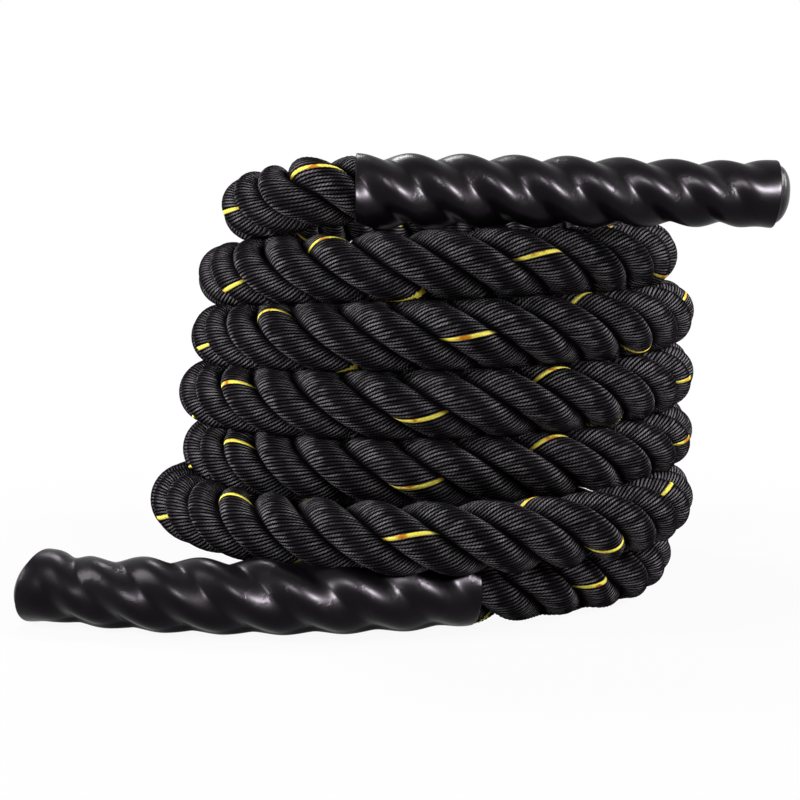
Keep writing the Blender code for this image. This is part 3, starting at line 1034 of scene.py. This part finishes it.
@dataclass
class LaidRope:
    """The laid rope: one surface of three strands, made as the coil and its two tails.

    Turns whose middles are less than loose apart press on each other, and firmly so when
    they are nearer by slack. There the surface fills the space up to the plane between
    them by the spread share, and what stands past the plane is trimmed by the trim share.
    """

    route: RopeRoute
    lay: StrandLay
    crest_radius: float = 0.02025
    wide: float = 1.13
    columns: int = 16
    ring_step: float = 0.0026
    yarns: int = 25
    yarn_shift: float = 0.37
    strand_girth: float = 0.056
    rope_radius: float = 0.0191
    sleeve_radius: float = 0.0209
    swell: float = 0.010
    swell_waves: tuple[float, float] = (61.0, 23.0)
    swell_shift: float = 2.1
    line_points: int = 801
    contact_step: float = 0.002
    own_reach: float = 0.25
    loose: float = 0.0445
    slack: float = 0.005
    spread_share: float = 0.98
    spread_from: float = 0.94
    trim_share: float = 0.3
    floor_gap: float = 0.0003
    tail_length: float = 0.238
    in_mouth: float = 0.008
    narrowing: float = 0.0009
    narrowing_run: float = 0.004
    path_step: int = 6
    pieces: list[bpy.types.Object] = field(default_factory=list)

    def outline(self) -> tuple[np.ndarray, np.ndarray, np.ndarray]:
        """Section of a strand between the furrows beside it.

        Returns:
            Distances out and sideways, as shares of the crest's radius, and the share of
            the way round the strand from its crest.
        """
        half, wide = 0.5, 0.5 * self.wide
        edge = 2 * math.atan(half * math.tan(math.pi / STRANDS) / wide)
        slope = np.linspace(-edge, edge, self.columns + 1)
        out, sideways = half + half * np.cos(slope), wide * np.sin(slope)
        fine = np.linspace(-edge, edge, self.line_points)
        run = run_of(np.stack([half + half * np.cos(fine), wide * np.sin(fine)], -1))
        arc = np.interp(slope, fine, run - run[-1] / 2)
        return out, sideways, arc * self.crest_radius / self.strand_girth

    def maps(self, lengths: np.ndarray, arc: np.ndarray, strands: np.ndarray) -> dict[str, np.ndarray]:
        """Maps that the yarn's finish reads.

        Args:
            lengths: Lengths along the rope, one for each ring.
            arc: Share of the way round the strand from its crest, one for each column.
            strands: Numbers of the strands, from 0, one for each panel.

        Returns:
            The map yarn, of yarns across and millimetres along, and the map strand, of
            turns since the tracer surfaced (a constant half on the other strands) and
            the share of the way from the strand's crest to its furrow.
        """
        shape = (len(lengths), len(strands), len(arc))
        rounds = np.broadcast_to(arc + self.lay.surfacing(lengths)[:, None, None], shape)
        shift = self.yarn_shift * strands[None, :, None]
        along = np.broadcast_to(lengths[:, None, None] / MILLIMETRE, shape)
        marked = np.where(strands[None, :, None] == 0, rounds, 0.5)
        share = np.broadcast_to(arc / np.abs(arc).max(), shape)
        return {
            "yarn": np.stack([self.yarns * (rounds + shift), along], -1),
            "strand": np.stack([marked, share], -1),
        }

    def contacts(self, lengths: np.ndarray, middles: np.ndarray) -> list[tuple[np.ndarray, np.ndarray]]:
        """Where the rope meets what lies above it and below it.

        Args:
            lengths: Lengths along the rope of its rings.
            middles: Their middles.

        Returns:
            For what lies above and below, the offset of each ring's middle to the plane
            of contact, and how firmly it is pressed, 0 to 1.
        """
        every = np.arange(0.0, self.route.total, self.contact_step)
        line = self.route.sections(every)[0]
        in_grip = (every < self.route.mouth(Side.LOWER)) | (every > self.route.mouth(Side.UPPER))
        radius = np.where(in_grip, self.sleeve_radius, self.rope_radius)
        found = [(np.zeros_like(middles), np.zeros(len(middles))) for _ in range(2)]
        for row, (length, middle) in enumerate(zip(lengths, middles)):
            offsets = line - middle
            gaps = np.linalg.norm(offsets, axis=1)
            gaps[np.abs(every - length) < self.own_reach] = np.inf
            for (planes, firmness), sign in zip(found, (1, -1)):
                facing = np.where(offsets[:, 2] * sign > self.rope_radius / 2, gaps, np.inf)
                nearest = int(np.argmin(facing))
                planes[row] = offsets[nearest] * self.rope_radius / (self.rope_radius + radius[nearest])
                firmness[row] = ease((self.loose - facing[nearest]) / self.slack)
        planes, firmness = found[1]
        low = middles[:, 2] < self.loose / 2
        planes[low] = -middles[low] * (0.0, 0.0, 1.0)
        firmness[low] = ease((self.loose - 2 * middles[low, 2]) / self.slack)
        return found

    def skin(self, lengths: np.ndarray, crest: np.ndarray) -> Skin:
        """The rope's surface.

        Args:
            lengths: Lengths along the rope of its rings.
            crest: Radius of the strands' crests at each ring.

        Returns:
            The grid, with the maps that the yarn's finish reads.
        """
        middles, side, up = self.route.sections(lengths)
        out, sideways, arc = self.outline()
        strands = np.arange(STRANDS)
        angles = self.lay.angle(lengths)[:, None] + FULL_TURN * strands / STRANDS
        fast, slow = (lengths[:, None] * pace for pace in self.swell_waves)
        uneven = np.sin(fast + strands * self.swell_shift) * np.sin(slow)
        radius = (crest[:, None] * (1 + self.swell * uneven))[..., None]
        cosine, sine = np.cos(angles)[..., None], np.sin(angles)[..., None]
        across = radius * (out * cosine - sideways * sine)
        upward = radius * (out * sine + sideways * cosine)
        local = across[..., None] * side[:, None, None] + upward[..., None] * up[:, None, None]
        for planes, firmness in self.contacts(lengths, middles):
            local = self._spread(local, planes, firmness)
        points = middles[:, None, None] + local
        joined = (points[:, :, -1] + np.roll(points[:, :, 0], -1, axis=1)) / 2
        points[:, :, -1] = joined
        points[:, :, 0] = np.roll(joined, 1, axis=1)
        points[..., 2] = np.maximum(points[..., 2], self.floor_gap)
        return Skin(points, self.maps(lengths, arc, strands))

    def _spread(self, local: np.ndarray, planes: np.ndarray, firmness: np.ndarray) -> np.ndarray:
        """Flatten and fill the rope where it is pressed.

        Args:
            local: Points of the surface, from the rings' middles.
            planes: Offset of each ring's middle to the plane of contact.
            firmness: How firmly each ring is pressed.

        Returns:
            The points, moved towards the plane where they face it.
        """
        reach = np.linalg.norm(planes, axis=1)
        facing = (planes / np.maximum(reach, MILLIMETRE)[:, None])[:, None, None]
        height = (local * facing).sum(-1)
        steep = height / np.linalg.norm(local, axis=-1)
        beyond = reach[:, None, None] - height
        share = ease((steep - self.spread_from) / (1 - self.spread_from)) * firmness[:, None, None]
        share = share * np.where(beyond < 0, self.trim_share, self.spread_share)
        return local + facing * (beyond * share)[..., None]

    def build(self) -> None:
        low, high = self.route.mouth(Side.LOWER), self.route.mouth(Side.UPPER)
        start, end = low - self.in_mouth, high + self.in_mouth
        count = round((end - start) / self.ring_step)
        lengths = np.linspace(start, end, count + 1)
        inside = np.maximum(low + self.narrowing_run - lengths, lengths - high + self.narrowing_run)
        crest = self.crest_radius - self.narrowing * ease(inside / self.narrowing_run)
        skin = self.skin(lengths, crest)
        normals = skin.normals()
        first = int(np.searchsorted(lengths, start + self.tail_length))
        last = int(np.searchsorted(lengths, end - self.tail_length))
        for node, side, near, far in (
            ("rope_coil", None, first, last),
            ("rope_tail_lower", Side.LOWER, 0, first),
            ("rope_tail_upper", Side.UPPER, last, count),
        ):
            piece = make_piece(f"{node}_strands", skin.cut(near, far), normals[near:far + 1])
            middles = self.route.sections(lengths[near:far + 1])[0]
            self.pieces.append(piece)
            self._declare(piece, node, side)

    def _declare(
        self,
        piece: bpy.types.Object,
        node: str,
        side: Side | None,
    ) -> None:
        """Let the coil ride on its body or bake a tail's place into its mesh, and hide the CAD node that
        the piece stands for.

        Args:
            piece: The piece.
            node: The CAD node.
            side: The grip that it ends in, or none for the coil.
        """
        if side is None:
            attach(piece, "coil")
        else:
            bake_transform(piece)
        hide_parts(node)

    def dress(self, material: bpy.types.Material) -> None:
        """Give the pieces their finish."""
        for piece in self.pieces:
            piece.data.materials.append(material)


@dataclass
class GripEnd:
    """One grip: its shrunk sleeve, the strands and the whipping inside, and the end cap.

    The crests, the lobes, the dome and the crumples are in millimetres. Crests and lobes
    are read evenly from the mouth to the far end. The cap's edge gives places past the
    sleeve's end, with the depth of each under the sleeve's outside. The far end leans by
    the slant and is drawn back by the pull. The lower sleeve is flattened on the floor.
    """

    line: GripLine
    rope: LaidRope
    crests: tuple[float, ...]
    lobes: tuple[float, ...]
    slant: float
    pull: float
    wall: float = 0.0012
    clearance: float = 0.0004
    tape: float = 0.0008
    whipping_width: float = 0.022
    plug: float = 0.012
    cap_edge: tuple[tuple[float, float], ...] = (
        (-6.0, 3.2), (-5.4, 2.2), (-4.6, 1.9), (-1.0, 1.7), (-0.4, 1.6), (0.3, 1.9), (0.7, 2.6),
    )
    dome: float = 7.5
    dome_width: float = 15.5
    dome_power: float = 0.9
    dome_rings: int = 12
    flat_from: float = 0.88
    flat_share: float = 0.50
    flat_run: float = 0.03
    lean_run: float = 0.05
    lean_radius: float = 0.02
    lobe_power: float = 0.80
    crumples: tuple[float, float] = (0.10, 0.07)
    broad_waves: tuple[float, float] = (9.1, 23.0)
    fine_waves: tuple[float, float] = (5.3, 31.0)
    strand_width: float = 0.965
    strand_heart: float = 0.03
    strand_sink: float = 0.1
    strand_rings: int = 90
    columns: int = 108
    cap_columns: int = 72
    step: float = 0.0016
    pieces: list[tuple[bpy.types.Object, Slot]] = field(default_factory=list)

    @property
    def body(self) -> str:
        """Name of the CAD body that the grip's pieces ride on."""
        return f"{self.line.side.value}_grip"

    @property
    def outward(self) -> int:
        """Whether lengths along the rope grow (1) or fall (-1) towards the grip's far end."""
        return 1 if self.line.side is Side.UPPER else -1

    def lengths(self, distances: np.ndarray) -> np.ndarray:
        """Lengths along the rope at distances from the mouth."""
        return self.rope.route.mouth(self.line.side) + self.outward * distances

    @property
    def strands_end(self) -> float:
        """Distance from the mouth at which the strands are cut."""
        return self.line.length - self.plug - self.clearance

    def profile(self, distances: np.ndarray) -> tuple[np.ndarray, np.ndarray]:
        """Radius of the sleeve over the strands' crests, and the height of its lobes.

        Args:
            distances: Distances from the mouth.

        Returns:
            Both, at each distance.
        """
        shares = distances / self.line.length * (len(self.crests) - 1)
        crest, lobe = (SmoothTable(table).at(shares) * MILLIMETRE for table in (self.crests, self.lobes))
        return crest, lobe

    def radii(self, distances: np.ndarray, angles: np.ndarray) -> np.ndarray:
        """Radius of the sleeve's outside.

        Args:
            distances: Distances from the mouth, one for each ring.
            angles: Angles in the section's plane, one for each column.

        Returns:
            Radii, by ring and column.
        """
        crest, lobe = (part[:, None] for part in self.profile(distances))
        from_crest = angles[None, :] - self.rope.lay.angle(self.lengths(distances))[:, None]
        height = ((1 + np.cos(STRANDS * from_crest)) / 2) ** self.lobe_power
        broad, fine = self.crumples
        first, second = (distances[:, None] / MILLIMETRE / wave for wave in self.broad_waves)
        crumple = broad * np.sin(first + 2 * angles) * np.sin(second + 1.3)
        first, second = (distances[:, None] / MILLIMETRE / wave for wave in self.fine_waves)
        crumple += fine * np.sin(first - 3 * angles + 2 * np.sin(second))
        return crest - lobe * (1 - height) + crumple * MILLIMETRE

    def rings(self, distances: np.ndarray, inset: np.ndarray, columns: int) -> Skin:
        """Grid of points at insets from the sleeve's outside.

        Args:
            distances: Distances from the mouth, one for each ring.
            inset: How far each ring lies inside the outside.
            columns: Steps round a ring.

        Returns:
            The grid.
        """
        angles = np.linspace(0.0, FULL_TURN, columns + 1)
        held = np.clip(distances, 0.0, self.line.length)
        radius = self.radii(held, angles) - inset[:, None]
        middles, side, up = self.rope.route.sections(self.lengths(distances))
        across, upward = radius * np.cos(angles), radius * np.sin(angles)
        lean = ease((distances - self.line.length + self.lean_run) / self.lean_run)[:, None]
        tilt = lean * (self.slant * (upward - math.copysign(self.lean_radius, self.slant)) - self.pull)
        forward = np.cross(side, up) * self.outward
        points = (
            middles[:, None] + across[..., None] * side[:, None] + upward[..., None] * up[:, None]
            + tilt[..., None] * forward[:, None]
        )
        along = np.broadcast_to(distances[:, None] / MILLIMETRE, radius.shape)
        chart = np.stack([along, np.broadcast_to(angles, radius.shape)], -1)
        if self.line.side is Side.LOWER:
            steep = -upward / np.hypot(across, upward)
            share = ease((steep - self.flat_from) / (1 - self.flat_from) * 2) * (1 - lean)
            share = self.flat_share * share * ease(distances / self.flat_run)[:, None]
            points[..., 2] += (self.clearance + inset[:, None] - points[..., 2]) * share
            points, chart = points[:, ::-1], chart[:, ::-1]
        return Skin(points[:, None], {"sleeve": chart[:, None]})

    def _shell(self, name: str, start: float, end: float, inset: float, wall: float) -> bpy.types.Object:
        """A shell with rounded rims that follows the strands' lobes.

        Args:
            name: The piece's name.
            start: Where it starts, from the mouth.
            end: Where it ends.
            inset: How far its outside lies inside the sleeve's outside.
            wall: Its thickness.

        Returns:
            The piece.
        """
        half = wall / 2
        outside = np.linspace(start + half, end - half, round((end - start) / self.step))
        bend = np.linspace(0.0, 1.0, 5)[1:-1] * math.pi
        inside = np.linspace(end - half, start + half, len(outside) // 3)
        rim, rim_depth = half * np.sin(bend), half - half * np.cos(bend)
        distances = np.concatenate([outside, end - half + rim, inside, start + half - rim, outside[:1]])
        depth = np.concatenate([
            np.zeros(len(outside)), rim_depth, np.full(len(inside), wall), rim_depth[::-1], [0.0],
        ])
        skin = self.rings(distances, inset + depth, self.columns)
        return make_piece(name, skin, self._ring_normals(skin), closed=False)

    def _strand(self, number: int) -> bpy.types.Object:
        """One strand of the rope inside the sleeve, drawn in under the whipping.

        Args:
            number: The strand's number, from 0.

        Returns:
            The piece.
        """
        whipping_start = self.strands_end - self.whipping_width
        start = self.rope.in_mouth + self.clearance
        distances = np.linspace(start, self.strands_end, self.strand_rings)
        run = ROPE_DIAMETER / 2
        bound = ease((distances - whipping_start + run) / run)
        inset = self.wall + self.clearance + bound * (self.tape + self.clearance)
        if self.line.side is Side.LOWER:
            distances, inset = distances[::-1], inset[::-1]
        crest, lobe = self.profile(distances)
        radius = (crest - self.strand_sink * lobe - inset)[:, None]
        lengths = self.lengths(distances)
        middles, side, up = self.rope.route.sections(lengths)
        out, sideways, arc = self.rope.outline()
        out = np.append(out, [self.strand_heart, out[0]])
        sideways = np.append(sideways, [0.0, sideways[0]]) * self.strand_width
        angle = self.rope.lay.angle(lengths)[:, None] + FULL_TURN * number / STRANDS
        across = radius * (out * np.cos(angle) - sideways * np.sin(angle))
        upward = radius * (out * np.sin(angle) + sideways * np.cos(angle))
        points = middles[:, None] + across[..., None] * side[:, None] + upward[..., None] * up[:, None]
        maps = self.rope.maps(lengths, np.append(arc, [arc[-1], arc[0]]), np.array([number]))
        skin = Skin(points[:, None], maps)
        name = f"strand_{number + 1}_end_{self.line.side.value}_yarns"
        return make_piece(name, skin, skin.normals())

    @staticmethod
    def _ring_normals(skin: Skin) -> np.ndarray:
        """Normals of a skin whose last ring is its first one."""
        looped = Skin(np.concatenate([skin.points[-2:-1], skin.points, skin.points[1:2]]))
        return looped.normals()[1:-1]

    def _cap(self) -> bpy.types.Object:
        """The domed end cap, from its plug inside the sleeve to the middle of its dome.

        Returns:
            The piece.
        """
        foot, edge = self.cap_edge[-1]
        slope = np.arange(1, self.dome_rings) / self.dome_rings * math.pi / 2
        height = foot + self.dome * np.sin(slope)
        depth = edge + self.dome_width * (1 - np.cos(slope)) ** self.dome_power
        profile = np.concatenate([self.cap_edge, np.stack([height, depth], -1)]) * MILLIMETRE
        skin = self.rings(self.line.length + profile[:, 0], profile[:, 1], self.cap_columns)
        return make_piece(f"end_cap_{self.line.side.value}_dome", skin, skin.normals())

    def build(self) -> None:
        """Make the grip's pieces, which ride on its body."""
        side, length, inset = self.line.side.value, self.line.length, self.wall + self.clearance
        start, end = self.strands_end - self.whipping_width, self.strands_end
        sleeve = self._shell(f"grip_sleeve_{side}_skin", 0.0, length, 0.0, self.wall)
        band = self._shell(f"end_whipping_{side}_band", start, end, inset, self.tape)
        made = [
            (f"grip_sleeve_{side}", Slot.SLEEVE, sleeve),
            (f"end_whipping_{side}", Slot.TAPE, band),
            (f"end_cap_{side}", Slot.CAP, self._cap()),
        ]
        for number in range(STRANDS):
            made.append((f"strand_{number + 1}_end_{side}", Slot.ROPE, self._strand(number)))
        for node, slot, piece in made:
            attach(piece, self.body)
            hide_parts(node)
            self.pieces.append((piece, slot))

    def dress(self, finishes: Mapping[Slot, bpy.types.Material]) -> None:
        """Give the pieces the finishes of their slots."""
        for piece, slot in self.pieces:
            piece.data.materials.append(finishes[slot])


@dataclass(frozen=True)
class Lamp:
    """Rectangular soft lamp that faces the object; without diffuse it lights gloss alone."""

    name: str
    place: Place
    size: tuple[float, float]
    watts: float
    diffuse: bool = True
    target: Place = (0.0, -0.05, 0.13)

    def build(self) -> None:
        """Add the lamp to the scene."""
        data = bpy.data.lights.new(self.name, "AREA")
        data.shape = "RECTANGLE"
        data.size, data.size_y = self.size
        data.energy = self.watts
        lamp = bpy.data.objects.new(self.name, data)
        lamp.location = self.place
        lamp.visible_diffuse = self.diffuse
        facing = Vector(self.target) - Vector(self.place)
        lamp.rotation_euler = facing.to_track_quat("-Z", "Y").to_euler()
        bpy.context.collection.objects.link(lamp)


@dataclass
class Studio:
    """Camera, pale floor, white world and soft lamps."""

    camera_place: Place = (-0.0008, -0.9598, 0.2035)
    camera_tilt: float = math.radians(84.6)
    sensor: float = 36.0
    focal_share: float = 1497 / 800
    clip: tuple[float, float] = (0.01, 50.0)
    floor_reach: float = 6.0
    ambient: float = 0.04
    lamps: tuple[Lamp, ...] = (
        Lamp("left", (-1.25, -0.34, 0.66), (0.5, 0.6), 27.0),
        Lamp("right", (1.22, -0.12, 0.80), (0.5, 0.6), 23.0),
        Lamp("key", (0.62, -1.30, 0.62), (0.24, 0.22), 6.0),
        Lamp("glint", (0.62, -1.30, 0.62), (0.24, 0.22), 118.0, diffuse=False),
        Lamp("side_glint", (-0.30, -1.34, 0.60), (0.20, 0.20), 27.0, diffuse=False),
        Lamp("top", (0.0, 0.0, 1.5), (1.0, 0.8), 1.5),
        Lamp("back", (-0.45, 0.70, 1.35), (0.30, 0.24), 13.0),
    )

    def build_camera(self) -> None:
        """Make the camera at the photograph's viewing angle, and show colours as they are."""
        bpy.context.scene.view_settings.view_transform = "Standard"
        data = bpy.data.cameras.new("camera")
        data.sensor_width = self.sensor
        data.lens = self.sensor * self.focal_share
        data.clip_start, data.clip_end = self.clip
        camera = bpy.data.objects.new("camera", data)
        camera.location = self.camera_place
        camera.rotation_euler = (self.camera_tilt, 0.0, 0.0)
        bpy.context.collection.objects.link(camera)
        bpy.context.scene.camera = camera

    def build_room(self) -> None:
        """Make the floor, the world and the lamps."""
        mesh = bpy.data.meshes.new("studio_floor")
        reach = self.floor_reach
        corners = [(-reach, -reach, 0), (reach, -reach, 0), (reach, reach, 0), (-reach, reach, 0)]
        mesh.from_pydata(corners, [], [(0, 1, 2, 3)])
        mesh.materials.append(FloorFinish().make())
        floor = bpy.data.objects.new("studio_floor", mesh)
        bpy.context.collection.objects.link(floor)
        world = bpy.data.worlds.new("studio")
        bpy.context.scene.world = world
        world.use_nodes = True
        board = Board(world.node_tree)
        strength = board.looked_at() * (1 - self.ambient) + self.ambient
        glow = board.node("ShaderNodeBackground", None, {"Color": (1.0, 1.0, 1.0), "Strength": strength})
        board.node("ShaderNodeOutputWorld", None, {"Surface": glow.outputs[0]})
        for lamp in self.lamps:
            lamp.build()


def main() -> None:
    """Build and dress the rope, its grips and the studio."""
    logging.basicConfig(level=logging.INFO, format="%(name)s: %(message)s")
    studio = Studio()
    studio.build_camera()
    route = RopeRoute()
    rope = LaidRope(route, StrandLay(route))
    rope.build()
    for piece in rope.pieces:
        LOG.info("%s: %d faces", piece.name, len(piece.data.polygons))
    finishes = {
        Slot.ROPE: YarnFinish().make(), Slot.TAPE: TapeFinish().make(),
        Slot.SLEEVE: SleeveFinish().make(), Slot.CAP: CapFinish().make(),
    }
    rope.dress(finishes[Slot.ROPE])
    grips = (
        GripEnd(
            UPPER_GRIP, rope,
            crests=(21.3, 21.3, 21.2, 21.0, 20.7, 20.4, 19.8, 19.3, 19.0, 18.9, 19.2),
            lobes=(3.6, 4.0, 4.2, 4.2, 4.2, 4.0, 3.6, 3.4, 3.2, 2.6, 0.6),
            slant=0.04,
            pull=0.0062,
        ),
        GripEnd(
            LOWER_GRIP, rope,
            crests=(20.8, 21.0, 20.9, 20.7, 20.6, 20.5, 20.4, 20.1, 18.9, 18.6, 20.9),
            lobes=(2.4, 3.2, 3.4, 3.4, 3.6, 3.6, 3.6, 3.6, 3.0, 1.8, 0.3),
            slant=-0.20,
            pull=0.0055,
        ),
    )
    for grip in grips:
        grip.build()
        grip.dress(finishes)
        for piece, _ in grip.pieces:
            LOG.info("%s: %d faces, on %s", piece.name, len(piece.data.polygons), grip.body)
    studio.build_room()
    LOG.info("rope of %.3f m, with its grips", route.total)


if __name__ == "__main__":
    main()
